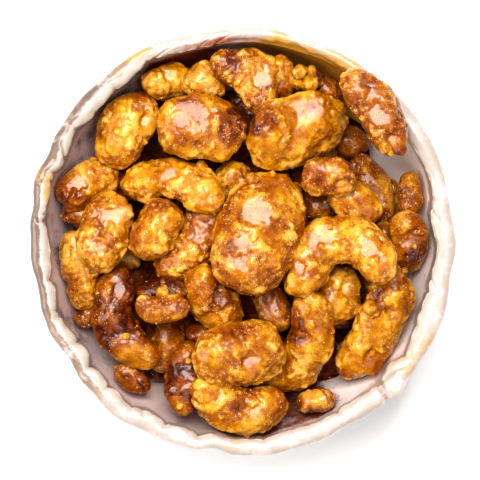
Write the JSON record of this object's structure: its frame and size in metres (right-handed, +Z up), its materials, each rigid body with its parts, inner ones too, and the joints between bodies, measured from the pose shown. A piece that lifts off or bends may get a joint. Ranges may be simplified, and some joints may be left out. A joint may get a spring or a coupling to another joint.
{
  "type": "bowl of caramelised cashews",
  "caption": "Small hand-pinched glazed bowl with a rolled, lobed rim, filled with a heap of bent cashew nuts in a lumpy glossy caramel coat.",
  "frame": {"origin": "middle of the flat underside of the bowl's foot, on the table", "axes": "+Z up, out of the bowl; +X to the right and +Y away from the eater, as in the picture seen from above"},
  "size_m": [0.1289, 0.1294, 0.057],
  "materials": {
    "glazed_stoneware": "glossy cream glaze with a mauve and ochre shade on the walls",
    "caramel_coated_nut": "glossy golden to brown caramel over rough nut"
  },
  "bodies": {
    "root": {"bowl": "glazed_stoneware", "cashew_heap": "caramel_coated_nut"}
  },
  "joints": []
}
